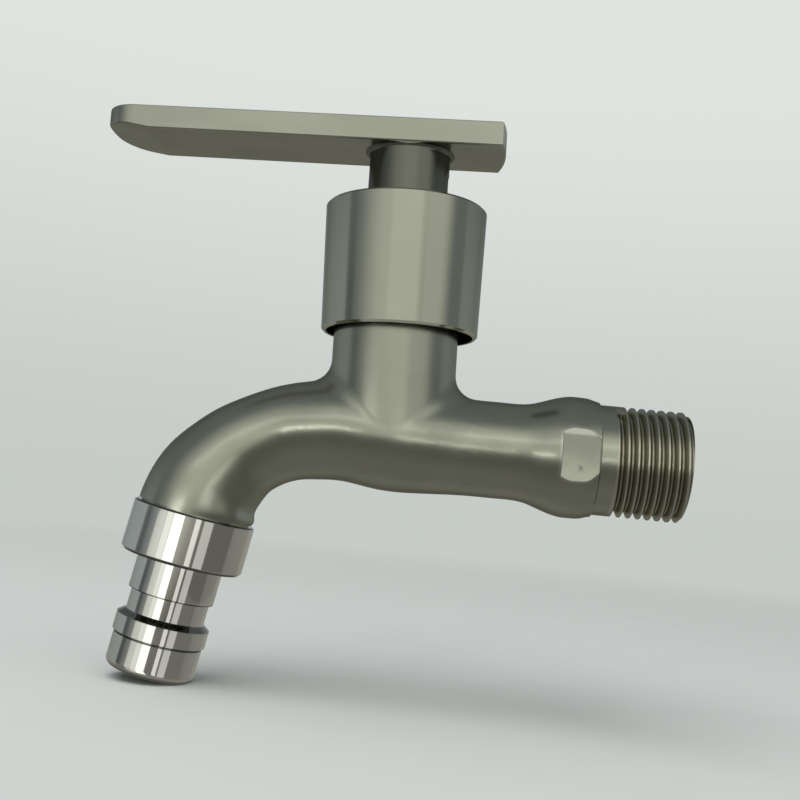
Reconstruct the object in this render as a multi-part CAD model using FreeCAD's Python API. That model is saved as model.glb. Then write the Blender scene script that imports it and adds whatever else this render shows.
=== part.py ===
import FreeCAD, Part
import math
import os

from FreeCAD import Vector

# Washing machine tap, in millimetres.
# The origin is the centre of the shoulder where the threaded inlet spigot leaves the body.
# X runs along the inlet into the wall, Z is up, and the spout points to -X.

# Inlet spigot and the body's barrel behind it
thread_diameter = 20.955       # pipe thread of half an inch
thread_pitch = 1.814
thread_depth = 1.162
thread_crest = 0.304           # flat width on the crest and in the root
thread_chamfer = 0.8
thread_start = 216.0           # degrees round the spigot, where the groove begins
plain_shank = 2.9              # unthreaded stretch between shoulder and thread
thread_length = 14.0
inlet_bore = 14.0
inlet_reach = 38.5             # valve axis to the shoulder
arm_diameter = 18.4
barrel_diameter = 23.1
shoulder_diameter = 21.8
arm_blend = 17.0               # length over which the chamber draws in to the arm
barrel_rise = 10.3             # length over which the arm swells into the barrel
barrel_full = 1.0              # length of the barrel at its full diameter
barrel_fall = 3.7              # length over which the barrel falls to the shoulder
across_flats = 21.0
flat_length = 7.0

# Neck, chamber and seat
valve_lean = 2.1               # degrees that the valve leans over the spout
neck_diameter = 24.1
neck_offset = 0.6              # the cast neck stands this far towards the spout
neck_top = 24.0                # above the seat
neck_fillet = 4.4
chamber_height = 20.2          # of the casting at the valve
chamber_width = 24.2
chamber_rise = 0.2             # centre of the casting at the valve, above the seat
seat_hole = 8.8
seat_thickness = 2.2
gallery_height = 5.3           # waterway under the seat
gallery_width = 12.0
gallery_end = 4.6              # past the valve axis
gallery_round = 2.3
inlet_bore_depth = 25.5        # from the shoulder
chamber_bore = 18.6
chamber_depth = 13.0           # seat to the thread in the neck

# Spout and its outlet spigot
spout_reach = 36.99            # valve axis to the centre of the nozzle's rim
spout_drop = 16.18             # seat to the centre of the nozzle's rim
nozzle_tilt = 12.1             # degrees that the nozzle leans out from the valve axis
spout_waist = 18.4
waist_place = 0.46             # share of the spout's curve from the valve to its waist
spout_flare = 22.0
spout_crown = (20.0, 4.4)      # first handle of the spout's curve, from its start
spout_fall = 12.3              # second handle, back along the nozzle's axis
spout_bore = 14.0
spout_mouth = 10.4             # size of the spout's bore where it leaves the chamber
mouth_lift = 3.4               # height of that mouth above the spout's centre line
outlet_bore = 15.0
outlet_spigot_diameter = 20.8
rim_gap = 0.4                  # the dark line between spout and nozzle

# Nozzle, from its rim downwards
collar_diameter = 23.4
collar_height = 9.6
collar_chamfer = 0.6
rim_chamfer = 0.3
collar_web = 1.5               # metal under the collar's socket
ring_diameter = 16.4
ring_height = 6.6
groove_diameter = 15.0
groove_height = 4.0
lip_diameter = 17.8
lip_height = 4.2               # with its bevel
lip_bevel = 1.0
line_width = 0.5               # fine turned line between lip and barrel
line_depth = 0.25
nozzle_barrel_diameter = 17.0
nozzle_barrel_height = 6.2
nozzle_round = 1.4
nozzle_bore = 11.0
washer_thickness = 1.5
washer_bore = 12.0

# Bonnet cover
cover_bottom = 20.4            # above the seat
cover_height = 24.8
cover_bottom_diameter = 30.3
cover_top_diameter = 31.5
cover_wall = 0.9               # at the open rim
cover_edge = 0.4               # chamfer at both ends
cover_grip = 6.2               # length of its thread

# Cartridge
cartridge_thread = 18.0
cover_thread = 21.0
cover_thread_length = 5.5
gasket_thickness = 1.0
gasket_diameter = 22.8
hexagon_height = 5.0
hexagon_flats = 22.0
sleeve_diameter = 13.0
housing_top = 38.4             # above the seat
cage_bottom = 1.0
cage_top = 14.5
cage_wall = 1.0
window_angle = 70.0
window_height = 3.9
disc_diameter = 13.0
disc_thickness = 3.2
port_inner = 1.6               # radii of the discs' water ports
port_outer = 5.2
port_angle = 84.0
lug_width = 2.4
lug_height = 2.2
lug_reach = 7.5                # disc's axis to the end of its lug
slot_depth = 1.4               # of the slots that the spindle's driver turns the disc by
slot_start = 3.4               # disc's axis to the inner end of a slot
seal_height = 2.9
seal_hole = 9.2
support_ring_wall = 0.5
support_ring_inset = 0.3

# Spindle
spindle_diameter = 8.0
driver_diameter = 12.8
driver_thickness = 4.4
driver_flange = 1.2
driver_hub = 4.4
driver_angle = 60.0
thrust_thickness = 0.5
spline_top = 52.5              # above the seat
spline_length = 11.3
spline_teeth = 20
spline_depth = 0.4
spindle_chamfer = 0.4
o_ring_section = 1.2
o_ring_flat = 0.03             # how far a ring is pressed flat inside and outside
o_ring_places = (17.5, 21.5)   # above the seat
circlip_thickness = 0.7
circlip_diameter = 11.2
circlip_opening = 70.0         # degrees
circlip_groove = 0.8           # depth of its groove
friction_thickness = 0.5
friction_diameter = 12.4

# Handle
post_diameter = 15.8
post_bottom = 40.9             # above the seat
post_chamfer = 0.4
post_flare = 0.9
lever_width = 16.5
lever_under = 56.5             # underside above the seat, at the valve's axis
lever_top = 61.25
under_slope = 0.35             # degrees that the underside rises towards the tip
top_slope = 0.17               # degrees that the top rises towards the tip
lever_tip = 59.7               # valve axis to the tip
lever_heel = 18.8              # valve axis to the other end
tip_corner = 6.0
tip_crown = 1.7                # how far the tip's end face bulges
heel_crown = 1.0
tip_bevel_length = 9.3
tip_bevel_rise = 1.4
lever_edge = 0.35
grub_height = 50.2             # above the seat
grub_diameter = 5.0
grub_length = 4.0
grub_chamfer = 0.4
grub_key = 2.5                 # across the flats of its socket
grub_key_depth = 2.0
grub_spot = 0.25               # depth of the flat that it bears on

# Clearances, each on the radius
running = 0.05                 # spindle in its bore
o_ring_play = 0.02             # ring in the bore
thread_clearance = 0.05        # between hidden threads, drawn plain
spline_clearance = 0.05
loose = 0.08                   # parts dropped into a bore
post_clearance = 0.3           # round the post in the cover
lapped = 0.01                  # between the ceramic discs
end_play = 0.05                # along the spindle

# Valve axis to the start of the barrel's swell
barrel_start = inlet_reach - barrel_fall - barrel_full - barrel_rise

# Heights above the seat that follow from the stack
moving_disc_bottom = seal_height + disc_thickness + lapped
driver_bottom = moving_disc_bottom + disc_thickness
driver_top = driver_bottom + driver_thickness
thrust_bottom = driver_top + end_play
cage_ceiling = thrust_bottom + thrust_thickness
hexagon_bottom = neck_top + gasket_thickness
hexagon_top = hexagon_bottom + hexagon_height
friction_top = housing_top + friction_thickness
circlip_bottom = friction_top + end_play
spline_bottom = spline_top - spline_length
cover_top = cover_bottom + cover_height

# Heights below the nozzle's rim
collar_bottom = -collar_height
socket_bottom = collar_bottom + collar_web
washer_top = socket_bottom + washer_thickness
ring_bottom = collar_bottom - ring_height
groove_bottom = ring_bottom - groove_height
lip_bottom = groove_bottom - lip_height
line_bottom = lip_bottom - line_width
nozzle_bottom = line_bottom - nozzle_barrel_height

origin = Vector(0, 0, 0)
x_axis = Vector(1, 0, 0)
y_axis = Vector(0, 1, 0)
z_axis = Vector(0, 0, 1)
far = 200.0                    # longer than the tap


def cylinder(diameter, low, high):
    """Round bar on the Z axis between two heights."""
    return Part.makeCylinder(diameter / 2, high - low, Vector(0, 0, low))


def tube(outer, inner, low, high):
    """Round tube on the Z axis between two heights."""
    return cylinder(outer, low, high).cut(cylinder(inner, low - 1, high + 1))


def cone(low_diameter, high_diameter, low, high):
    """Cone on the Z axis between two heights."""
    return Part.makeCone(low_diameter / 2, high_diameter / 2, high - low, Vector(0, 0, low))


def block(x_low, x_high, y_low, y_high, z_low, z_high):
    """Box between six planes."""
    return Part.makeBox(x_high - x_low, y_high - y_low, z_high - z_low, Vector(x_low, y_low, z_low))


def hexagon(flats, low, high):
    """Six-sided bar on the Z axis between two heights."""
    corner = flats / math.sqrt(3)
    points = []
    for index in range(6):
        angle = math.pi * index / 3
        points.append(Vector(corner * math.cos(angle), corner * math.sin(angle), low))
    return Part.Face(Part.makePolygon(points + points[:1])).extrude(z_axis * (high - low))


def turned(outline):
    """Solid of revolution on the Z axis, from the corners of its half section (radius, height)."""
    points = [Vector(radius, 0, height) for radius, height in outline]
    return Part.Face(Part.makePolygon(points + points[:1])).revolve(origin, z_axis, 360)


def sector(radius, angle, low, high):
    """Slice of a round bar, centred on +X, with the given angle in degrees."""
    slice_of_bar = Part.makeCylinder(radius, high - low, Vector(0, 0, low), z_axis, angle)
    slice_of_bar.rotate(origin, z_axis, -angle / 2)
    return slice_of_bar


def both_ways(shape):
    """The shape and its copy turned half round the Z axis."""
    other = shape.copy()
    other.rotate(origin, z_axis, 180)
    return shape.fuse(other)


def on_valve(shape):
    """Moves a shape from the valve's own frame, seat at zero, to its place in the tap."""
    placed = shape.copy()
    placed.rotate(origin, y_axis, -valve_lean)
    placed.translate(Vector(-inlet_reach, 0, 0))
    return placed


def on_outlet(shape):
    """Moves a shape from the nozzle's own frame, rim at zero and +Z up the spout, to its place."""
    placed = shape.copy()
    placed.rotate(origin, y_axis, nozzle_tilt)
    placed.translate(Vector(-spout_reach, 0, -spout_drop))
    return on_valve(placed)


def along_inlet(shape):
    """Turns a shape from the Z axis to the inlet's axis, with zero at the shoulder."""
    placed = shape.copy()
    placed.rotate(origin, y_axis, 90)
    return placed


def ease(share):
    """Goes from 0 to 1 with level ends."""
    return (1 - math.cos(math.pi * min(max(share, 0.0), 1.0))) / 2


# Casting

def nozzle_direction():
    """Unit vector down the nozzle, in the valve's frame."""
    tilt = math.radians(nozzle_tilt)
    return Vector(-math.sin(tilt), 0, -math.cos(tilt))


def spout_point(share):
    """Point of the spout's centre line, from the valve (0) to the outlet (1), a cubic curve."""
    start = Vector(0, 0, chamber_rise)
    end = Vector(-spout_reach, 0, -spout_drop) - nozzle_direction() * rim_gap
    crown = start + Vector(-spout_crown[0], 0, spout_crown[1])
    fall = end - nozzle_direction() * spout_fall
    rest = 1 - share
    return (start * rest ** 3 + crown * (3 * rest ** 2 * share)
            + fall * (3 * rest * share ** 2) + end * share ** 3)


def spout_size(share, at_valve):
    """Diameter of the spout at a share of its curve, for the given size at the valve."""
    if share < waist_place:
        return spout_waist + (at_valve - spout_waist) * ease(1 - share / waist_place)
    return spout_waist + (spout_flare - spout_waist) * ease((share - waist_place) / (1 - waist_place))


def arm_point(distance):
    """Point of the arm's centre line at a distance from the valve axis, in the valve's frame."""
    lean = math.radians(valve_lean)
    level = chamber_rise * (1 - ease(distance / arm_blend))
    return Vector(distance * math.cos(lean), 0, level - distance * math.sin(lean))


def arm_size(distance, at_valve):
    """Diameter of the arm and its barrel at a distance from the valve axis."""
    full = barrel_start + barrel_rise
    fall = full + barrel_full
    if distance <= barrel_start:
        return at_valve + (arm_diameter - at_valve) * ease(distance / arm_blend)
    if distance <= full:
        swell = ease((distance - barrel_start) / barrel_rise)
        return arm_diameter + (barrel_diameter - arm_diameter) * swell
    if distance <= fall:
        return barrel_diameter
    share = (distance - fall) / barrel_fall
    return barrel_diameter - (barrel_diameter - shoulder_diameter) * share ** 2


def oval(centre, direction, height, width):
    """Closed smooth curve round a centre, square to a direction in the XZ plane."""
    across = Vector(-direction.z, 0, direction.x)
    points = []
    for index in range(16):
        angle = 2 * math.pi * index / 16
        points.append(centre - across * (height / 2 * math.cos(angle))
                      + y_axis * (width / 2 * math.sin(angle)))
    curve = Part.BSplineCurve()
    curve.interpolate(points, PeriodicFlag=True)
    return Part.Wire([curve.toShape()])


def casting_run():
    """Smooth tube from the outlet over the chamber to the shoulder, in the valve's frame."""
    stations = []
    for share in (1.0, 0.88, 0.76, 0.64, 0.54, 0.44, 0.34, 0.22, 0.1):
        stations.append((spout_point(share), spout_size(share, chamber_height),
                         spout_size(share, chamber_width)))
    for share in (0.05, 0.14, 0.24, 0.34, 0.44, 0.54, 0.61, 0.66, 0.72, 0.78, 0.84, 0.88, 0.92, 0.96, 1.0):
        distance = share * inlet_reach
        stations.append((arm_point(distance), arm_size(distance, chamber_height),
                         arm_size(distance, chamber_width)))
    wires = []
    last = len(stations) - 1
    for index, (centre, height, width) in enumerate(stations):
        before = stations[max(index - 1, 0)][0]
        after = stations[min(index + 1, last)][0]
        direction = (after - before).normalize()
        if index == 0:
            direction = nozzle_direction() * -1
        if index == last:
            direction = arm_point(inlet_reach) - arm_point(inlet_reach - 1)
        wires.append(oval(centre, direction, height, width))
    return Part.makeLoft(wires, True, False, False)


def casting_neck():
    """Plain round neck standing in the run."""
    neck = cylinder(neck_diameter, 0, neck_top)
    neck.rotate(origin, z_axis, 90)
    neck.translate(Vector(-neck_offset, 0, 0))
    return neck


def neck_root(shape):
    """Edges where the neck rises out of the run."""
    found = []
    for edge in shape.Edges:
        box = edge.BoundBox
        low_enough = box.ZMax < neck_top - neck_fillet
        if low_enough and box.YLength > neck_diameter * 0.8 and abs(box.Center.x) < neck_offset * 2:
            found.append(edge)
    return found


def wrench_flats():
    """What the two flats take off the barrel, on the inlet's axis."""
    outside = block(-flat_length, 0, -far, far, -far, far)
    return outside.cut(block(-far, far, -across_flats / 2, across_flats / 2, -far, far))


# Threaded spigot

def groove_profile(start):
    """Section of the thread groove in the XZ plane, its centre at a height on the Z axis."""
    outside = 0.15                 # how far it stands out of the bar, short of the next turn
    crest_radius = thread_diameter / 2
    root_radius = crest_radius - thread_depth
    half_open = (thread_pitch - thread_crest) / 2
    half_root = thread_crest / 2
    slope = (half_open - half_root) / thread_depth
    half_outside = half_open + slope * outside
    corners = [Vector(crest_radius + outside, 0, start - half_outside),
               Vector(root_radius, 0, start - half_root),
               Vector(root_radius, 0, start + half_root),
               Vector(crest_radius + outside, 0, start + half_outside)]
    return Part.makePolygon(corners + corners[:1])


def groove_turns():
    """Groove of every turn over the first quarter round the Z axis, a little past both its sides."""
    overlap = 4.0                  # degrees past each side of the quarter
    start = plain_shank + thread_pitch / 2
    path = Part.makeHelix(thread_pitch, thread_pitch * (90 + 2 * overlap) / 360, thread_diameter / 2)
    path.translate(z_axis * start)
    groove = Part.Wire(path.Edges).makePipeShell([groove_profile(start)], True, True)
    groove.rotate(origin, z_axis, -overlap)
    groove.translate(z_axis * (-thread_pitch * overlap / 360))
    turns = []
    for index in range(math.ceil(thread_length / thread_pitch) + 1):
        turn = groove.copy()
        turn.translate(z_axis * (thread_pitch * index))
        turns.append(turn)
    return Part.makeCompound(turns)


def threaded_spigot():
    """Inlet spigot on the Z axis with a right-hand thread, in four quarter bars."""
    end = plain_shank + thread_length
    bar = cylinder(thread_diameter, -1, end - thread_chamfer)
    bar = bar.fuse(cone(thread_diameter, thread_diameter - 2 * thread_chamfer, end - thread_chamfer, end))
    grooves = groove_turns()
    quarters = []
    for index in range(4):
        quarter = Part.makeCylinder(thread_diameter, far, z_axis * -2, z_axis, 90)
        quarter.rotate(origin, z_axis, 90 * index)
        rising = grooves.copy()
        rising.rotate(origin, z_axis, 90 * index)
        rising.translate(z_axis * (thread_pitch * index / 4))
        quarters.append(bar.common(quarter).cut(rising))
    spigot = quarters[0].fuse(quarters[1:])
    spigot.rotate(origin, z_axis, thread_start)
    return spigot


# Waterways

def spout_way():
    """Curved bore from the chamber to just inside the outlet spigot, in the valve's frame."""
    wires = []
    narrow = outlet_bore - 2 * loose
    for share in (0.12, 0.2, 0.3, 0.42, 0.54, 0.66, 0.78, 0.9, 1.0):
        after = spout_point(min(share + 0.01, 1.0))
        before = spout_point(share - 0.01)
        near_mouth = ease((waist_place - share) / 0.3)
        near_outlet = ease((share - 0.5) / 0.5)
        size = spout_bore + (narrow - spout_bore) * near_outlet + (spout_mouth - spout_bore) * near_mouth
        centre = spout_point(share) + z_axis * mouth_lift * near_mouth
        wires.append(oval(centre, (before - after).normalize(), size, size))
    below_rim = spout_point(1.0) + nozzle_direction() * (rim_gap + 1)
    wires.append(oval(below_rim, nozzle_direction() * -1, narrow, narrow))
    return Part.makeLoft(wires, True, False, False)


def gallery():
    """Flat waterway that brings the inlet's water under the seat, in the valve's frame."""
    high = -seat_thickness
    low = high - gallery_height
    bore_start = inlet_reach - inlet_bore_depth
    way = block(-gallery_end, bore_start + 2, -gallery_width / 2, gallery_width / 2, low, high)
    long_edges = [edge for edge in way.Edges if edge.BoundBox.XLength > gallery_end]
    return way.makeFillet(gallery_round, long_edges)


def make_body():
    """The casting with its threads, waterways and seat."""
    run = casting_run().fuse(casting_neck())
    outside = on_valve(run.makeFillet(neck_fillet, neck_root(run)))
    outside = outside.cut(wrench_flats())
    outside = outside.fuse(on_outlet(cylinder(outlet_spigot_diameter, washer_top, rim_gap + 1)))
    inside = cylinder(cartridge_thread + 2 * thread_clearance, chamber_depth - 1, neck_top + 1)
    inside = inside.fuse(cylinder(chamber_bore, 0, chamber_depth))
    inside = inside.fuse(cylinder(seat_hole, -seat_thickness - gallery_height / 2, 1))
    inside = inside.fuse(gallery())
    inside = inside.fuse(spout_way())
    body = outside.cut(on_valve(inside))
    body = body.cut(on_outlet(cylinder(outlet_bore, washer_top - 1, rim_gap)))
    body = along_inlet(threaded_spigot()).fuse(body)
    end = plain_shank + thread_length
    return body.cut(along_inlet(cylinder(inlet_bore, -inlet_bore_depth, end + 1)))


# Cartridge

def make_cartridge_gasket():
    """Flat ring between the neck's end and the cartridge's hexagon."""
    inner = cartridge_thread + 2 * thread_clearance
    return on_valve(tube(gasket_diameter, inner, neck_top, hexagon_bottom))


def make_cartridge_housing():
    """Brass housing: cage round the discs, two threads, hexagon and sleeve for the spindle."""
    cage_bore = disc_diameter + 2 * loose
    cage_outside = cage_bore + 2 * cage_wall
    thread_top = hexagon_top + cover_thread_length
    housing = cylinder(cage_outside, cage_bottom, cage_top)
    housing = housing.fuse(cylinder(cartridge_thread, cage_top, hexagon_bottom))
    housing = housing.fuse(hexagon(hexagon_flats, hexagon_bottom, hexagon_top))
    housing = housing.fuse(cylinder(cover_thread, hexagon_top, thread_top))
    housing = housing.fuse(cylinder(sleeve_diameter, thread_top, housing_top))
    housing = housing.cut(cylinder(cage_bore, cage_bottom - 1, cage_ceiling))
    housing = housing.cut(cylinder(spindle_diameter + 2 * running, cage_ceiling - 1, housing_top + 1))
    window_top = driver_top - driver_flange
    windows = both_ways(sector(cage_outside, window_angle, window_top - window_height, window_top))
    slot = lug_width / 2 + loose
    lug_slots = block(-slot, slot, -cage_outside, cage_outside, cage_bottom - 1, seal_height + lug_height)
    return on_valve(housing.cut(windows).cut(lug_slots))


def ports(low, high):
    """The two opposed water ports of a disc, on +X and -X."""
    port = sector(port_outer, port_angle, low, high)
    return both_ways(port.cut(cylinder(2 * port_inner, low - 1, high + 1)))


def make_fixed_disc():
    """Ceramic disc held still in the cage by its two lugs."""
    top = seal_height + disc_thickness
    disc = cylinder(disc_diameter, seal_height, top)
    half = lug_width / 2
    lugs = block(-half, half, -lug_reach, lug_reach, seal_height, seal_height + lug_height)
    return on_valve(disc.fuse(lugs).cut(ports(seal_height - 1, top + 1)))


def make_moving_disc():
    """Ceramic disc turned by the spindle, its ports a quarter turn off when shut."""
    shut_ports = ports(moving_disc_bottom - 1, driver_bottom + 1)
    shut_ports.rotate(origin, z_axis, 90)
    disc = cylinder(disc_diameter, moving_disc_bottom, driver_bottom).cut(shut_ports)
    half = lug_width / 2
    slots = block(slot_start, far, -half, half, driver_bottom - slot_depth, driver_bottom + 1)
    return on_valve(disc.cut(both_ways(slots)))


def make_seat_seal():
    """Rubber ring that closes the gap between the seat and the fixed disc."""
    return on_valve(tube(disc_diameter, seal_hole, 0, seal_height))


def make_seal_support_ring():
    """Thin ring that keeps the seat seal round."""
    inner = seal_hole - 2 * support_ring_wall
    return on_valve(tube(seal_hole, inner, support_ring_inset, seal_height - support_ring_inset))


def make_thrust_washer():
    """Low-friction washer between the spindle's flange and the cage's ceiling."""
    inner = spindle_diameter + 2 * loose
    return on_valve(tube(disc_diameter, inner, thrust_bottom, cage_ceiling))


def make_friction_washer():
    """Washer on the sleeve's end, under the circlip."""
    inner = spindle_diameter + 2 * loose
    return on_valve(tube(friction_diameter, inner, housing_top, friction_top))


# Spindle

def splined_bar(tip_radius, low, high):
    """Bar with fine straight teeth on the Z axis between two heights."""
    points = []
    for index in range(2 * spline_teeth):
        radius = tip_radius - spline_depth * (index % 2)
        angle = math.pi * index / spline_teeth
        points.append(Vector(radius * math.cos(angle), radius * math.sin(angle), low))
    return Part.Face(Part.makePolygon(points + points[:1])).extrude(z_axis * (high - low))


def spindle_driver():
    """Foot of the spindle: flange, hub, two wings and the tabs that enter the moving disc."""
    flange_bottom = driver_top - driver_flange
    wings = both_ways(sector(driver_diameter / 2, driver_angle, driver_bottom, flange_bottom))
    foot = cylinder(driver_diameter, flange_bottom, driver_top)
    foot = foot.fuse(cylinder(driver_hub, driver_bottom, flange_bottom)).fuse(wings)
    half = lug_width / 2 - loose
    tab_bottom = driver_bottom - slot_depth + loose
    tabs = block(slot_start + loose, driver_diameter / 2 - loose, -half, half, tab_bottom, driver_bottom)
    return foot.fuse(both_ways(tabs))


def o_ring_groove(place):
    """Room on the spindle for one O-ring."""
    half = o_ring_section / 2 + loose
    return tube(spindle_diameter + 2, ring_root(), place - half, place + half)


def ring_root():
    """Diameter of the spindle in an O-ring's groove."""
    outer = spindle_diameter + 2 * (running - o_ring_play)
    return outer - 2 * (o_ring_section - 2 * o_ring_flat)


def make_o_ring(place):
    """O-ring pressed a little flat between its groove and the bore."""
    outer = spindle_diameter + 2 * (running - o_ring_play)
    middle = (outer + ring_root()) / 4
    ring = Part.makeTorus(middle, o_ring_section / 2, Vector(0, 0, place))
    return on_valve(ring.common(tube(outer, ring_root(), place - o_ring_section, place + o_ring_section)))


def make_spindle():
    """Brass spindle with its driver, grooves, splined end and the flat for the grub screw."""
    groove_root = spindle_diameter - 2 * circlip_groove
    groove_top = circlip_bottom + circlip_thickness + end_play
    spindle = spindle_driver().fuse(cylinder(spindle_diameter, driver_top, spline_bottom))
    for place in o_ring_places:
        spindle = spindle.cut(o_ring_groove(place))
    spindle = spindle.cut(tube(spindle_diameter + 2, groove_root, circlip_bottom - end_play, groove_top))
    end = cylinder(spindle_diameter, spline_bottom - 1, spline_top - spindle_chamfer)
    end = end.fuse(cone(spindle_diameter, spindle_diameter - 2 * spindle_chamfer,
                        spline_top - spindle_chamfer, spline_top))
    spindle = spindle.fuse(splined_bar(spindle_diameter / 2, spline_bottom, spline_top).common(end))
    low = grub_height - grub_diameter / 2
    high = grub_height + grub_diameter / 2
    spot = block(spindle_diameter / 2 - grub_spot, far, -far, far, low, high)
    return on_valve(spindle.cut(spot))


def make_spindle_circlip():
    """Open spring ring in the groove of the spindle."""
    top = circlip_bottom + circlip_thickness
    ring = tube(circlip_diameter, spindle_diameter - 2 * circlip_groove, circlip_bottom, top)
    return on_valve(ring.cut(sector(circlip_diameter, circlip_opening, circlip_bottom - 1, top + 1)))


# Bonnet cover

def make_bonnet_cover():
    """Slightly flared cap that screws on the cartridge and hides the neck's end."""
    low_radius = cover_bottom_diameter / 2
    high_radius = cover_top_diameter / 2
    skirt = low_radius - cover_wall
    grip = cover_thread / 2 + thread_clearance
    hole = post_diameter / 2 + post_clearance
    grip_top = hexagon_top + cover_grip
    outline = [(skirt, cover_bottom), (low_radius - cover_edge, cover_bottom),
               (low_radius, cover_bottom + cover_edge), (high_radius, cover_top - cover_edge),
               (high_radius - cover_edge, cover_top), (hole, cover_top), (hole, grip_top),
               (grip, grip_top), (grip, hexagon_top), (skirt, hexagon_top)]
    return on_valve(turned(outline))


# Handle

def lever():
    """Flat bar of the handle: its plan, cut to its side view."""
    half = lever_width / 2
    heel = lever_heel - heel_crown
    tip = tip_crown - lever_tip
    heel_end = Part.Arc(Vector(heel, -half, 0), Vector(lever_heel, 0, 0), Vector(heel, half, 0))
    tip_end = Part.Arc(Vector(tip, half, 0), Vector(-lever_tip, 0, 0), Vector(tip, -half, 0))
    outline = Part.Wire([heel_end.toShape(), Part.makeLine(Vector(heel, half, 0), Vector(tip, half, 0)),
                         tip_end.toShape(), Part.makeLine(Vector(tip, -half, 0), Vector(heel, -half, 0))])
    plan = Part.Face(outline).extrude(z_axis * far)
    corners = [edge for edge in plan.Edges if edge.BoundBox.ZLength > 1 and edge.BoundBox.XMax < 0]
    bar = plan.makeFillet(tip_corner, corners).common(lever_side())
    rims = [edge for edge in bar.Edges if edge.BoundBox.ZLength < bar.BoundBox.ZLength / 2]
    return bar.makeFillet(lever_edge, rims)


def lever_side():
    """Side view of the lever, as wide as it needs to be."""
    under = math.tan(math.radians(under_slope))
    over = math.tan(math.radians(top_slope))
    bevel_start = lever_tip - tip_bevel_length
    corners = []
    for x, height in ((lever_heel + 1, lever_under - under * (lever_heel + 1)),
                      (-bevel_start, lever_under + under * bevel_start),
                      (-lever_tip, lever_under + under * lever_tip + tip_bevel_rise),
                      (-lever_tip - 1, lever_under + under * lever_tip + tip_bevel_rise),
                      (-lever_tip - 1, lever_top + over * (lever_tip + 1)),
                      (lever_heel + 1, lever_top - over * (lever_heel + 1))):
        corners.append(Vector(x, -lever_width, height))
    return Part.Face(Part.makePolygon(corners + corners[:1])).extrude(y_axis * (2 * lever_width))


def post_flare_ring():
    """Hollow rounding from the post into the lever, cut off at the lever's sides."""
    outer = post_diameter + 2 * post_flare
    start = lever_under - post_flare
    hollow = Part.makeTorus(outer / 2, post_flare, Vector(0, 0, start))
    ring = cylinder(outer, start, lever_under + 1).cut(hollow)
    half = lever_width / 2 - lever_edge / 2
    return ring.common(block(-outer, outer, -half, half, start, lever_under + 1))


def make_handle():
    """Lever and post in one piece, with the splined socket and the grub screw's hole."""
    post = cylinder(post_diameter, post_bottom + post_chamfer, lever_under + 1)
    post = post.fuse(cone(post_diameter - 2 * post_chamfer, post_diameter,
                          post_bottom, post_bottom + post_chamfer))
    handle = post.fuse(post_flare_ring()).fuse(lever())
    handle = handle.cut(cylinder(spindle_diameter + 2 * spline_clearance, post_bottom - 1, spline_bottom))
    socket = splined_bar(spindle_diameter / 2 + spline_clearance, spline_bottom, spline_top)
    return on_valve(handle.cut(socket).cut(grub_bar(far)))


def grub_bar(length):
    """Plain bar along X from the spindle's flat outwards, at the grub screw's height."""
    start = spindle_diameter / 2 - grub_spot
    return Part.makeCylinder(grub_diameter / 2, length, Vector(start, 0, grub_height), x_axis)


def make_handle_grub_screw():
    """Headless screw with a hexagon socket, bearing on the spindle's flat."""
    start = spindle_diameter / 2 - grub_spot
    screw = grub_bar(grub_length)
    screw = screw.makeChamfer(grub_chamfer, [edge for edge in screw.Edges if edge.BoundBox.XLength < 0.01])
    key = hexagon(grub_key, grub_length - grub_key_depth, grub_length + 1)
    key.rotate(origin, y_axis, 90)
    key.translate(Vector(start, 0, grub_height))
    return on_valve(screw.cut(key))


# Nozzle

def make_hose_nozzle():
    """Collar that screws on the outlet spigot, with the stepped stem for the hose."""
    collar = collar_diameter / 2
    socket = outlet_spigot_diameter / 2 + thread_clearance
    barrel_edge = nozzle_barrel_diameter / 2
    bore = nozzle_bore / 2
    outline = [(socket, 0), (collar - rim_chamfer, 0), (collar, -rim_chamfer),
               (collar, collar_bottom + collar_chamfer), (collar - collar_chamfer, collar_bottom),
               (ring_diameter / 2, collar_bottom), (ring_diameter / 2, ring_bottom),
               (groove_diameter / 2, ring_bottom), (groove_diameter / 2, groove_bottom),
               (lip_diameter / 2, groove_bottom - lip_bevel), (lip_diameter / 2, lip_bottom),
               (barrel_edge - line_depth, lip_bottom), (barrel_edge - line_depth, line_bottom),
               (barrel_edge, line_bottom), (barrel_edge, nozzle_bottom), (bore, nozzle_bottom),
               (bore, socket_bottom), (socket, socket_bottom)]
    nozzle = turned(outline)
    end = [edge for edge in nozzle.Edges if edge.BoundBox.ZMax < nozzle_bottom + 0.01
           and edge.BoundBox.XLength > nozzle_barrel_diameter - 0.01]
    return on_outlet(nozzle.makeFillet(nozzle_round, end))


def make_nozzle_washer():
    """Flat washer between the outlet spigot's end and the nozzle."""
    return on_outlet(tube(outlet_spigot_diameter, washer_bore, socket_bottom, washer_top))


def export(name, shape):
    """Writes one piece to its own file."""
    shape.exportStep("parts/" + name + ".step")


os.makedirs("parts", exist_ok=True)
export("body", make_body())
export("cartridge_gasket", make_cartridge_gasket())
export("cartridge_housing", make_cartridge_housing())
export("seat_seal", make_seat_seal())
export("seal_support_ring", make_seal_support_ring())
export("fixed_disc", make_fixed_disc())
export("moving_disc", make_moving_disc())
export("thrust_washer", make_thrust_washer())
export("spindle", make_spindle())
export("spindle_o_ring_lower", make_o_ring(o_ring_places[0]))
export("spindle_o_ring_upper", make_o_ring(o_ring_places[1]))
export("friction_washer", make_friction_washer())
export("spindle_circlip", make_spindle_circlip())
export("bonnet_cover", make_bonnet_cover())
export("handle", make_handle())
export("handle_grub_screw", make_handle_grub_screw())
export("nozzle_washer", make_nozzle_washer())
export("hose_nozzle", make_hose_nozzle())
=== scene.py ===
import math

import bpy
import numpy as np
from mathutils import Matrix, Vector


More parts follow.
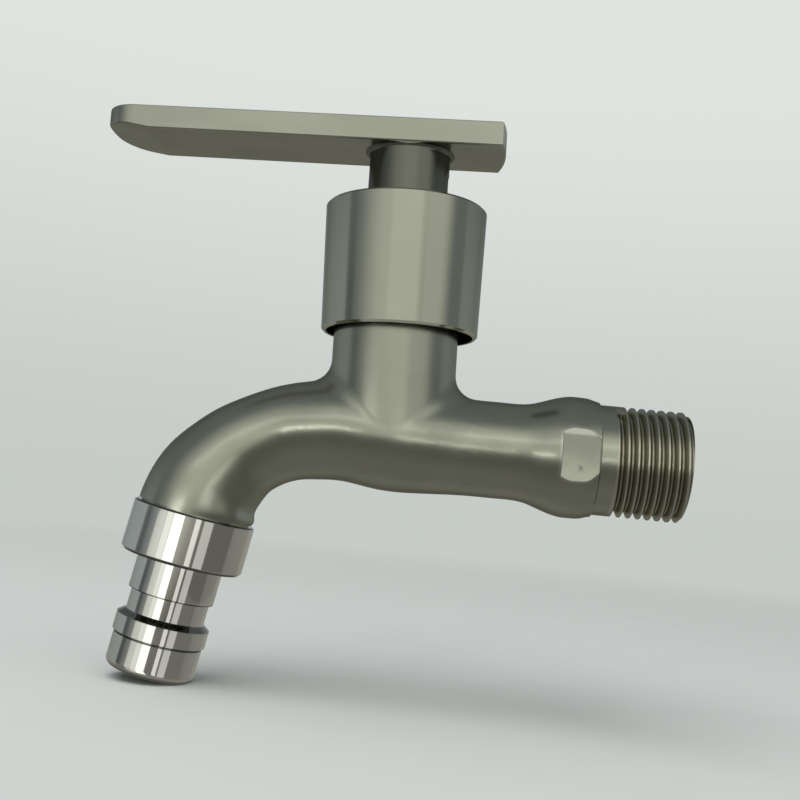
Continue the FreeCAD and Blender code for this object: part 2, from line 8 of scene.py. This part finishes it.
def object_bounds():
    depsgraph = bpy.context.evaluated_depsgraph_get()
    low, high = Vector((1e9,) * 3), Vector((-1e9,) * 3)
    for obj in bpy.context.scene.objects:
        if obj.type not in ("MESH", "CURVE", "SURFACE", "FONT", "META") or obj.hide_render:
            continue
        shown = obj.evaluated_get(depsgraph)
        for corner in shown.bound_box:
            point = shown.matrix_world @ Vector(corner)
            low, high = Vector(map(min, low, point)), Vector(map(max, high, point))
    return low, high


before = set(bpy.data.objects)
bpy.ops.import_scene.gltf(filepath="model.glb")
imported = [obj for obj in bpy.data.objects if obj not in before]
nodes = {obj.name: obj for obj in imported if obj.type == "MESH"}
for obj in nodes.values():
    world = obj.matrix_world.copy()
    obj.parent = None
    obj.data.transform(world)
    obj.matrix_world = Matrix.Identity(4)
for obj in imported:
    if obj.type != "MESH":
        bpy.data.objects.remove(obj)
cad_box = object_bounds()
scene = bpy.context.scene

# The view of the photograph: the tap seen from its side and slightly from below. The lens was
# found from the rims, the valve and the inlet, in the valve's own frame, which leans over the
# spout and has its origin in the middle of the seat.

valve_lean = 2.1               # degrees
inlet_reach = 0.0385           # valve's axis to the shoulder, where the part's origin is
camera_azimuth = math.radians(2.794)
camera_elevation = math.radians(-5.742)
camera_roll = math.radians(3.596)
focal_pixels = 1046.6
eye_distance = 0.2013
valve_pixel = (392.37, 440.20)  # middle of the seat in the picture
frame_pixels = 800
film_width = 36.0              # millimetres


def from_valve(direction):
    """A direction in the valve's frame, turned about Y into the part's frame."""
    x, y, z = direction
    cosine = math.cos(math.radians(valve_lean))
    sine = math.sin(math.radians(valve_lean))
    return Vector((x * cosine - z * sine, y, x * sine + z * cosine))


right = Vector((math.cos(camera_azimuth), math.sin(camera_azimuth), 0))
sight = Vector((-math.sin(camera_azimuth) * math.cos(camera_elevation),
                math.cos(camera_azimuth) * math.cos(camera_elevation),
                -math.sin(camera_elevation)))
up = right.cross(sight)
picture_right = right * math.cos(camera_roll) + up * math.sin(camera_roll)
picture_down = right * math.sin(camera_roll) - up * math.cos(camera_roll)
valve_right = (valve_pixel[0] - frame_pixels / 2) / focal_pixels * eye_distance
valve_down = (valve_pixel[1] - frame_pixels / 2) / focal_pixels * eye_distance
eye = picture_right * -valve_right + picture_down * -valve_down + sight * -eye_distance
eye = from_valve(eye) + Vector((-inlet_reach, 0, 0))
axes = [from_valve(picture_right), from_valve(picture_down) * -1, from_valve(sight) * -1]
turn = Matrix([[axis[row] for axis in axes] for row in range(3)])

camera_data = bpy.data.cameras.new("photo_camera")
camera_data.sensor_fit = "HORIZONTAL"
camera_data.sensor_width = film_width
camera_data.lens = film_width * focal_pixels / frame_pixels
camera_data.clip_start = 0.01
camera_data.clip_end = 50.0
camera = bpy.data.objects.new("photo_camera", camera_data)
camera.matrix_world = Matrix.Translation(eye) @ turn.to_4x4()
scene.collection.objects.link(camera)
scene.camera = camera
scene.view_settings.view_transform = "Standard"


# Floor under the tap: a wide pale table top, matt and faintly mottled, that thins out into the
# backdrop. The steel doesn't mirror it, as the real tap was photographed clear of one.

class Signal:
    """A socket of a finish, whose arithmetic adds Math nodes."""

    def __init__(self, finish, socket):
        self.finish = finish
        self.socket = socket

    def math(self, operation, *values):
        return self.finish.node("Math", {"operation": operation}, values)

    def __add__(self, other):
        return self.math("ADD", self, other)

    __radd__ = __add__

    def __sub__(self, other):
        return self.math("SUBTRACT", self, other)

    def __rsub__(self, other):
        return self.math("SUBTRACT", other, self)

    def __mul__(self, other):
        return self.math("MULTIPLY", self, other)

    __rmul__ = __mul__

    def __pow__(self, other):
        return self.math("POWER", self, other)

    def __abs__(self):
        return self.math("ABSOLUTE", self)

    def rising(self, low, high):
        """0 below low, 1 above high and smooth between them."""
        settings = {"interpolation_type": "SMOOTHSTEP", "clamp": True}
        return self.finish.node("MapRange", settings, (self, low, high, 0.0, 1.0))

    def falling(self, low, high):
        """1 below low, 0 above high and smooth between them."""
        return 1 - self.rising(low, high)

    def bell(self, centre, width):
        """1 at the centre, fading to 0 at a width to each side."""
        return abs(self - centre).falling(0.0, width)


class Finish:
    """The node tree of a material or of the room."""

    def __init__(self, tree):
        self.tree = tree
        self.tree.nodes.clear()

    def node(self, kind, settings=None, sockets=(), out=0):
        """Adds a node: its settings, then its sockets by order or by name. Gives one output of it."""
        added = self.tree.nodes.new("ShaderNode" + kind)
        for name, value in (settings or {}).items():
            setattr(added, name, value)
        given = sockets.items() if isinstance(sockets, dict) else enumerate(sockets)
        for key, value in given:
            if isinstance(value, Signal):
                self.tree.links.new(value.socket, added.inputs[key])
            else:
                added.inputs[key].default_value = value
        return Signal(self, added.outputs[out]) if len(added.outputs) else None

    def tint(self, share, first, second):
        """Colour from the first to the second as a share goes from 0 to 1. Each of the two is a
        colour of three numbers or another node's."""
        first, second = [end if isinstance(end, Signal) else (*end, 1) for end in (first, second)]
        return self.node("Mix", {"data_type": "RGBA"}, {0: share, 6: first, 7: second}, 2)


def new_finish(name):
    """An empty material and its node tree."""
    material = bpy.data.materials.new(name)
    material.use_nodes = True
    return material, Finish(material.node_tree)


def cloud(finish, place, scale, stretch=None, detail=3.0):
    """Noise from 0 to 1 at a scale in features per metre, finer along an axis by its stretch."""
    if stretch:
        place = finish.node("Mapping", None, {"Vector": place, "Scale": stretch})
    return finish.node("TexNoise", None, {"Vector": place, "Scale": scale, "Detail": detail})


def stand(name, points, faces, material):
    """A piece of the stage, made of points and faces, that no steel mirrors."""
    mesh = bpy.data.meshes.new(name)
    mesh.from_pydata(points.tolist(), [], faces)
    mesh.materials.append(material)
    piece = bpy.data.objects.new(name, mesh)
    piece.visible_glossy = False
    scene.collection.objects.link(piece)
    return piece


table_radius = 2.0
table_sides = 96
table_solid = 0.12             # from the origin, where the table begins to thin out
table_gone = 0.70

table_top, table = new_finish("table_top")
place = table.node("TexCoord", out="Object")
from_origin = table.node("VectorMath", {"operation": "LENGTH"}, (place,), "Value")
mottle = cloud(table, place, 60.0, detail=4.0)
paint = table.tint(mottle, (0.76, 0.79, 0.765), (0.80, 0.82, 0.80))
solid = table.node("BsdfDiffuse", None, {"Color": paint})
clear = table.node("BsdfTransparent")
thinned = table.node("MixShader", None, (from_origin.rising(table_solid, table_gone), solid, clear))
table.node("OutputMaterial", None, (thinned,))

# The rim is a circle at the level of the tap's lowest point, and one face fills it.
turns = np.linspace(0, 2 * math.pi, table_sides, endpoint=False)
table_level = np.full(table_sides, cad_box[0][2])
table_rim = np.column_stack([table_radius * np.cos(turns), table_radius * np.sin(turns), table_level])
stand("table_top", table_rim, [list(range(table_sides))], table_top)


# Backdrop: a wide dome of pale paper round the table, a little darker towards the horizon. Only
# the camera sees it, since the steel mirrors the room below.

def parts(finish, vector):
    """The X, Y and Z parts of a vector."""
    split = finish.node("SeparateXYZ", None, (vector,)).socket.node
    return [Signal(finish, output) for output in split.outputs]


dome_radius = 2.5
dome_sides = 64
dome_rings = 31
dome_reach = 1.5               # radians below and above the horizon

pale_paper, paper = new_finish("pale_paper")
lift = parts(paper, paper.node("TexCoord", out="Object"))[2]
tone = paper.tint(lift.rising(-0.05, 1.15), (0.565, 0.60, 0.575), (0.745, 0.775, 0.75))
paper.node("OutputMaterial", None, (paper.node("Emission", None, (tone, 1.0)),))

# A point is the dome's radius times the direction at its azimuth and elevation, and each ring has
# one elevation. Faces join a ring to the next, and a face on all of a ring's points closes each end.
around, upward = np.meshgrid(np.linspace(0, 2 * math.pi, dome_sides, endpoint=False),
                             np.linspace(-dome_reach, dome_reach, dome_rings))
dome_points = np.stack([np.cos(upward) * np.cos(around), np.cos(upward) * np.sin(around),
                        np.sin(upward)], axis=2)
dome_points = dome_radius * dome_points.reshape(-1, 3)
ring, spoke = np.meshgrid(np.arange(dome_rings - 1), np.arange(dome_sides), indexing="ij")
below = ring * dome_sides
above = below + dome_sides
next_spoke = (spoke + 1) % dome_sides
dome_faces = np.stack([below + spoke, above + spoke, above + next_spoke, below + next_spoke], axis=2)
dome_faces = dome_faces.reshape(-1, 4).tolist()
dome_corners = list(range(len(dome_points)))
dome_faces += [dome_corners[:dome_sides], dome_corners[-dome_sides:]]
backdrop = stand("backdrop", dome_points, dome_faces, pale_paper)
backdrop.visible_diffuse = False
backdrop.visible_shadow = False


# The room that the steel mirrors: a broad window in front of the tap, brightest in the middle and
# with a dark board before it, grey boards at the sides and the back, and dim above and below.
# Azimuths are in degrees from the front towards +X, and a height is the sine of an elevation.

world = bpy.data.worlds.new("room")
world.use_nodes = True
scene.world = world
room = Finish(world.node_tree)
across, behind, height = parts(room, room.node("TexCoord", out="Generated"))
azimuth = room.node("Math", {"operation": "ARCTAN2"}, (across, behind * -1)) * (180 / math.pi)

ceiling = height.rising(-0.1, 0.15) * 0.06
underfoot = height.falling(-0.95, -0.45) * 0.06
left_board = azimuth.falling(-86.0, -82.0) * height.bell(-0.02, 0.50) * 0.17
right_board = azimuth.rising(94.0, 101.0) * height.bell(-0.02, 0.50) * 0.16
back_board = behind.rising(0.74, 0.90) * height.bell(0.05, 0.70) * 0.12
back_floor = behind.rising(0.1, 0.8) * height.falling(-0.7, -0.1) * 0.10
left_gap = azimuth.bell(-76.0, 10.0) * height.bell(0.05, 0.30) * 0.07
pane_line = azimuth.bell(32.0, 3.0) * height.bell(0.1, 0.25) * 0.10
dark_board = azimuth.bell(14.0, 13.0) * height.bell(-0.01, 0.15) * 0.20
grey_boards = left_board + right_board + back_board + back_floor
walls = 0.13 + ceiling + underfoot + grey_boards - left_gap - pane_line - dark_board

left_panes = azimuth.rising(-74.0, -24.0) * 0.83 + azimuth.rising(-20.0, -15.0) * 0.17
right_panes = (1 - azimuth.rising(23.0, 28.0) * 0.29) * azimuth.falling(56.0, 80.0)
window_band = height.rising(-0.24, 0.02) * height.falling(0.62, 0.90)
window_glow = 0.46 + height.bell(0.45, 0.30) * 0.05
window = left_panes * right_panes * window_band * window_glow

# The walls are a little warm low down and cool higher up, and the window's light is warm.
coolness = height.rising(-0.2, 0.05) * 0.11
red = walls * (1.02 - coolness) + window * 1.01
blue = walls * (0.93 + coolness) + window * 0.88
room_colour = room.node("CombineXYZ", None, (red, walls + window, blue))
room.node("OutputWorld", None, (room.node("Background", None, (room_colour, 1.0)),))


# Lamps: a soft box over the tap, and cards that each light one piece. Long cards draw the bright
# line along the body and the soft one above it, and tall cards stand in the polished nozzle as
# bands.

def lamp(name, place, target, size, power, lit=None):
    """A rectangular studio lamp that faces a target, and lights only one node if it is named."""
    data = bpy.data.lights.new(name, "AREA")
    data.shape = "RECTANGLE"
    data.size, data.size_y = size
    data.energy = power
    light = bpy.data.objects.new(name, data)
    aim = (Vector(target) - Vector(place)).to_track_quat("-Z", "Y")
    light.matrix_world = Matrix.Translation(place) @ aim.to_matrix().to_4x4()
    light.visible_camera = False
    light.visible_glossy = lit is not None
    if lit:
        receivers = bpy.data.collections.new(name)
        receivers.objects.link(nodes[lit])
        light.light_linking.receiver_collection = receivers
    scene.collection.objects.link(light)


def card(name, middle, distance, azimuths, elevations, glow, lit):
    """A lamp that a node sees within a span of azimuth and of elevation in degrees, at a
    distance and with a glow, where 1 is white."""
    turned = math.radians(sum(azimuths) / 2)
    raised = math.radians(sum(elevations) / 2)
    away = Vector((math.sin(turned) * math.cos(raised), -math.cos(turned) * math.cos(raised),
                   math.sin(raised)))
    width, length = [2 * distance * math.tan(math.radians(high - low) / 2)
                     for low, high in (azimuths, elevations)]
    place = Vector(middle) + away * distance
    lamp(name, place, middle, (width, length), glow * math.pi * width * length, lit)


def floor_card(name, along, side, power, lit):
    """A square lamp on the floor that shines straight up."""
    level = cad_box[0][2] + 0.0002
    lamp(name, (along, 0.0, level), (along, 0.0, 1.0), (side, side), power, lit)


tap_middle = (-0.045, 0.0, 0.0)
spout_middle = (-0.05, -0.01, 0.0)
spout_distance = 0.30
nozzle_middle = (-0.075, -0.010, -0.034)
nozzle_distance = 0.20

lamp("ceiling_softbox", (-0.25, -0.25, 0.9), tap_middle, (1.1, 1.1), 7.6)
lamp("ceiling_card", (-0.05, 0.25, 0.60), tap_middle, (1.2, 1.2), 1.9, "handle")
floor_card("cover_floor_card", -0.04, 0.6, 0.16, "bonnet_cover")
floor_card("nozzle_floor_card", -0.08, 0.11, 0.0013, "hose_nozzle")
for name, azimuths, elevations, glow in (
        ("long_lamp_left", (-46.0, -21.0), (-2.9, -1.0), 6.6),
        ("long_lamp_right", (8.0, 34.0), (-2.9, -1.0), 3.0),
        ("upper_lamp", (-33.0, 27.0), (24.5, 28.5), 0.75)):
    card(name, spout_middle, spout_distance, azimuths, elevations, glow, "body")
for name, azimuths, elevations, glow in (
        ("card_far_left", (-56.0, -38.0), (-44.0, 8.0), 0.30),
        ("card_left", (-38.0, -24.0), (-44.0, 8.0), 0.48),
        ("card_bright", (-24.0, -3.0), (-44.0, 8.0), 1.05),
        ("card_slim", (18.0, 28.0), (-36.0, 8.0), 0.62),
        ("card_right", (34.0, 52.0), (-44.0, 8.0), 0.40)):
    card(name, nozzle_middle, nozzle_distance, azimuths, elevations, glow, "hose_nozzle")


# Body: one stainless steel casting with spout, neck, arm and barrel, belt-polished to a satin
# sheen. Its two flats are milled for a wrench, and the inlet spigot is turned and threaded.

def on_axes(finish, lean=0.0):
    """Object coordinates with a lean towards +X in degrees taken out, and their three parts."""
    place = finish.node("TexCoord", out="Object")
    if lean:
        place = finish.node("Mapping", None, {"Vector": place, "Rotation": (0, math.radians(-lean), 0)})
    return place, *parts(finish, place)


def relief(finish, height, depth, under=None):
    """Bump of a height signal, a depth in metres for each whole step of it."""
    sockets = {"Height": height, "Strength": 1.0, "Distance": depth}
    if under:
        sockets["Normal"] = under
    return finish.node("Bump", None, sockets)


def metal_surface(finish, colour, gloss, normal, edge_tint=(0.45, 0.45, 0.42)):
    """Bare metal with a colour, a roughness, a relief and a tint where it is seen edge on."""
    sockets = {"Base Color": colour, "Metallic": 1.0, "Roughness": gloss,
               "Specular Tint": (*edge_tint, 1), "Normal": normal}
    finish.node("OutputMaterial", None, (finish.node("BsdfPrincipled", None, sockets),))


def dress(node, material):
    """Gives a CAD node its finish."""
    data = nodes[node].data
    data.materials.clear()
    data.materials.append(material)


plain_shank = 0.0029           # from the shoulder to the thread
thread_root = 0.0094           # radius, just clear of the grooves' floor
thread_crest = 0.01035         # radius, just under the crests
flat_length = 0.0070           # of the wrench flats, back from the shoulder
flat_half = 0.0105             # half the width across them
highlight_rim_length = 0.0008            # of the painted highlights round them
highlight_rise = 0.0034           # height over the inlet's axis above which a flat's rolled top edge gets a painted highlight
pit_place = (-0.0036, -0.0026)  # along the inlet's axis from the shoulder, and height over it
nick_place = (0.0031, 0.0081)
mould_mark_place = (-0.0022, -0.0112)

body_steel, cast = new_finish("cast_steel")
place, along, side, rise = on_axes(cast)
patches = cloud(cast, place, 130.0)
blotches = patches.rising(0.3, 0.7)
specks = cloud(cast, place, 2600.0, detail=2.0)
from_axis = (side * side + rise * rise) ** 0.5
on_spigot = along.rising(0.0, 0.00004)
on_thread = along.rising(plain_shank, plain_shank + 0.0001)
in_groove = on_thread * from_axis.falling(thread_root, thread_crest)
to_shoulder = along.falling(-0.0003, 0.0)
on_flat = along.rising(-flat_length - 0.0001, -flat_length) * to_shoulder
on_flat = on_flat * abs(side).rising(flat_half - 0.00004, flat_half - 0.00001)
# Painted highlight: a bright rim round each flat, and a bright band along a flat's rolled top edge.
flat_rim_highlight = along.rising(-flat_length - highlight_rim_length, -flat_length) * to_shoulder * (1 - on_flat)
flat_rim_highlight = flat_rim_highlight * abs(side).rising(flat_half - 0.00025, flat_half - 0.0001)
flat_rim_highlight = flat_rim_highlight * abs(rise).falling(0.0060, 0.0075)
edge_highlight = on_flat * rise.rising(highlight_rise, highlight_rise + 0.0006)
on_near_flat = side.falling(-flat_half + 0.0001, -flat_half + 0.0003)
from_pit = ((along - pit_place[0]) ** 2 + (rise - pit_place[1]) ** 2) ** 0.5

# Colour: the cast skin, then the thread with painted shade in its grooves, the flats with a painted
# reflection lighter low down and painted highlights on their rims, then a pit on the near flat, a
# painted shade line at the shoulder, a nick in the first crest and a mould mark under the barrel.
skin = cast.tint(blotches, (0.490, 0.502, 0.412), (0.528, 0.540, 0.444))
# Painted shade: the thread's grooves are darker than its crests.
thread_groove_shade = cast.tint(in_groove, (0.64, 0.63, 0.53), (0.43, 0.41, 0.32))
# Painted reflection: the flats are lighter low down and darker high up, with random blotches mixed in.
flat_sheen_and_blotches = rise.falling(-0.0048, 0.0018) * 0.7 + blotches * 0.3
milled = cast.tint(flat_sheen_and_blotches, (0.375, 0.393, 0.322), (0.61, 0.62, 0.52))
# Painted shade: a dark line in the step at the shoulder, over its lower and middle part.
shoulder_shade = along.bell(0.0, 0.00022) * rise.rising(-0.0095, -0.0080) * rise.falling(0.0045, 0.0060)
nick = along.bell(nick_place[0], 0.0005) * rise.bell(nick_place[1], 0.0007)
mould_mark = along.bell(mould_mark_place[0], 0.0006)
mould_mark = mould_mark * rise.falling(mould_mark_place[1] - 0.0004, mould_mark_place[1])
colour = cast.tint(on_thread, skin, thread_groove_shade)
colour = cast.tint(on_flat, colour, milled)
# The painted highlights on the flats' rims and rolled top edges.
colour = cast.tint((flat_rim_highlight + edge_highlight) * 0.8, colour, (0.80, 0.80, 0.73))
colour = cast.tint(from_pit.falling(0.0, 0.0006) * on_near_flat * 0.6, colour, (0.20, 0.20, 0.165))
# The painted shade at the shoulder, then the nick and the mould mark, all dark.
colour = cast.tint(shoulder_shade * 0.8 + nick + mould_mark * 0.8, colour, (0.07, 0.07, 0.055))
gloss = 0.255 + (patches - 0.5) * 0.06 + (specks - 0.5) * 0.03 + on_flat * 0.05 + on_thread * 0.06

# Relief: the casting's slow swells, waves in the hand-dressed flats, then grain and tool lines,
# and the pit.
swells = cloud(cast, place, 120.0, detail=1.0)
waves = cloud(cast, place, 300.0, detail=1.0) * on_flat
grain = cloud(cast, place, 2200.0)
turned_lines = cloud(cast, place, 60.0, (90, 1, 1), 2.0) * on_spigot
milled_lines = cloud(cast, place, 60.0, (1, 1, 70), 2.0) * on_flat
shape = relief(cast, swells, 3.0e-5)
shape = relief(cast, waves, 1.3e-4, shape)
shape = relief(cast, grain + (turned_lines + milled_lines) * 3.0, 4.0e-7, shape)
shape = relief(cast, from_pit.falling(0.0001, 0.0009) * on_near_flat, -6.0e-5, shape)
metal_surface(cast, colour, gloss, shape)
dress("body", body_steel)


# Cartridge: a turned brass housing that screws into the neck, on a fibre gasket under its hexagon.
# It holds ported ceramic discs, a rubber seat seal with the hard ring that backs it, and plastic
# washers that the spindle turns on.

brass, alloy = new_finish("cartridge_brass")
place, along, side, rise = on_axes(alloy, -valve_lean)
patches = cloud(alloy, place, 220.0)
turned_lines = cloud(alloy, place, 50.0, (1, 1, 90), 2.0)
colour = alloy.tint(patches, (0.66, 0.47, 0.20), (0.74, 0.55, 0.27))
metal_surface(alloy, colour, 0.24 + patches * 0.08, relief(alloy, turned_lines, 2.0e-6), (0.9, 0.8, 0.6))


def plain_surface(name, light, dark, roughness, grain_scale, grain_depth):
    """Rubber, plastic, fibre or ceramic: two near tones, matt or glossy, with a fine grain."""
    material, finish = new_finish(name)
    place = finish.node("TexCoord", out="Object")
    patches = cloud(finish, place, grain_scale / 4)
    grain = cloud(finish, place, grain_scale)
    sockets = {"Base Color": finish.tint(patches, dark, light),
               "Roughness": roughness + (grain - 0.5) * 0.1,
               "Normal": relief(finish, grain, grain_depth)}
    finish.node("OutputMaterial", None, (finish.node("BsdfPrincipled", None, sockets),))
    return material


ceramic = plain_surface("ceramic", (0.88, 0.87, 0.83), (0.83, 0.82, 0.78), 0.18, 900.0, 4e-7)
rubber = plain_surface("seal_rubber", (0.035, 0.035, 0.035), (0.022, 0.022, 0.022), 0.62, 3000.0, 4e-6)
plastic = plain_surface("bearing_plastic", (0.80, 0.79, 0.74), (0.76, 0.75, 0.70), 0.42, 1600.0, 2e-6)
fibre = plain_surface("gasket_fibre", (0.12, 0.13, 0.12), (0.08, 0.09, 0.085), 0.75, 2400.0, 1e-5)
dress("cartridge_housing", brass)
dress("cartridge_gasket", fibre)
dress("fixed_disc", ceramic)
dress("moving_disc", ceramic)
dress("seat_seal", rubber)
dress("seal_support_ring", plastic)
dress("thrust_washer", plastic)
dress("friction_washer", plastic)


# Spindle: brass, turned and splined at its top, with two rubber O-rings in grooves and a spring
# steel circlip that keeps it down. A steel grub screw fixes the handle to it, and they turn
# together.

spring_steel, spring = new_finish("spring_steel")
place = spring.node("TexCoord", out="Object")
patches = cloud(spring, place, 500.0)
colour = spring.tint(patches, (0.30, 0.30, 0.30), (0.38, 0.38, 0.37))
metal_surface(spring, colour, 0.30 + patches * 0.1, relief(spring, cloud(spring, place, 3000.0), 8e-7))
dress("spindle", brass)
dress("spindle_o_ring_upper", rubber)
dress("spindle_o_ring_lower", rubber)
dress("spindle_circlip", spring_steel)
dress("handle_grub_screw", spring_steel)


# Bonnet cover: a deep stainless cap turned from bar, brushed round its axis, so that the room's
# bright and dark sides stand in it as upright bands. It screws on the cartridge.

def turned_steel(name, light, dark, roughness, lean, line_depth, edge_tint, creases=()):
    """Steel turned or brushed round an axis that leans in the XZ plane by an angle in degrees,
    with painted shade in creases, each a height along the axis, a half width and a share of the dark."""
    material, finish = new_finish(name)
    place, along, side, rise = on_axes(finish, lean)
    patches = cloud(finish, place, 90.0)
    lines = cloud(finish, place, 34.0, (1, 1, 120))
    hairs = cloud(finish, place, 40.0, (3, 3, 300), 2.0)
    colour = finish.tint(patches.rising(0.3, 0.7) * 0.6 + hairs * 0.4, dark, light)
    # Painted shade: each crease is darkened towards near black.
    for level, width, share in creases:
        crease = rise.bell(level, width).rising(0.1, 0.7)
        colour = finish.tint(crease * share, colour, (0.09, 0.09, 0.08))
    gloss = roughness + (patches - 0.5) * 0.05 + (hairs - 0.5) * 0.05
    metal_surface(finish, colour, gloss, relief(finish, lines + hairs * 0.6, line_depth), edge_tint)
    return material


cover_steel = turned_steel("brushed_steel_round", (0.600, 0.608, 0.505), (0.560, 0.568, 0.470),
                           0.125, -valve_lean, 8e-7, (0.5, 0.5, 0.47))
dress("bonnet_cover", cover_steel)


# Handle: a flat stainless bar welded on a short round post. The bar is brushed along its length,
# and the post under it is painted darker as painted shade, out to the flare that meets the bar.

post_top = 0.0579              # along the valve's axis, from the part's origin
flare_radius = 0.0088

lever_steel, brushed = new_finish("brushed_steel_long")
place, along, side, rise = on_axes(brushed, -valve_lean)
patches = cloud(brushed, place, 60.0, (1, 3, 3))
hairs = cloud(brushed, place, 45.0, (1.6, 60, 60))
streaks = patches.rising(0.3, 0.7) * 0.5 + hairs * 0.5
colour = brushed.tint(streaks, (0.495, 0.503, 0.425), (0.600, 0.608, 0.520))
from_axis = ((along + inlet_reach) ** 2 + side * side) ** 0.5
# Painted shade: the post under the bar is darker, out to the flare.
post_shade = rise.falling(post_top, post_top + 0.0002)
post_shade = post_shade * from_axis.falling(flare_radius - 0.0002, flare_radius + 0.0002)
colour = brushed.tint(post_shade, colour, (0.235, 0.240, 0.200))
gloss = 0.24 + (hairs - 0.5) * 0.10
metal_surface(brushed, colour, gloss, relief(brushed, hairs, 1.6e-6))
dress("handle", lever_steel)


# Hose nozzle: turned from stainless bar and buffed until it mirrors, with a flat rubber washer
# inside its collar. Its creases are painted dark, as painted shade.

nozzle_lean = 10.0             # degrees
# Painted shade in the nozzle's creases: each a height along the axis, a half width and a share of the
# dark.
nozzle_crease_shade = (
    (-0.0301, 0.0007, 1.0),    # rim of the collar, against the spout
    (-0.0397, 0.0006, 0.9),    # under the collar
    (-0.0465, 0.0003, 0.9),    # under the ring
    (-0.0510, 0.0008, 0.7),    # bevel of the lip
    (-0.05495, 0.0004, 0.9),   # turned line under the lip
    (-0.0613, 0.0009, 0.8))    # mouth
nozzle_steel = turned_steel("polished_steel", (0.83, 0.83, 0.765), (0.80, 0.80, 0.735),
                            0.06, nozzle_lean, 1.6e-7, (0.8, 0.8, 0.78), nozzle_crease_shade)
dress("hose_nozzle", nozzle_steel)
dress("nozzle_washer", rubber)
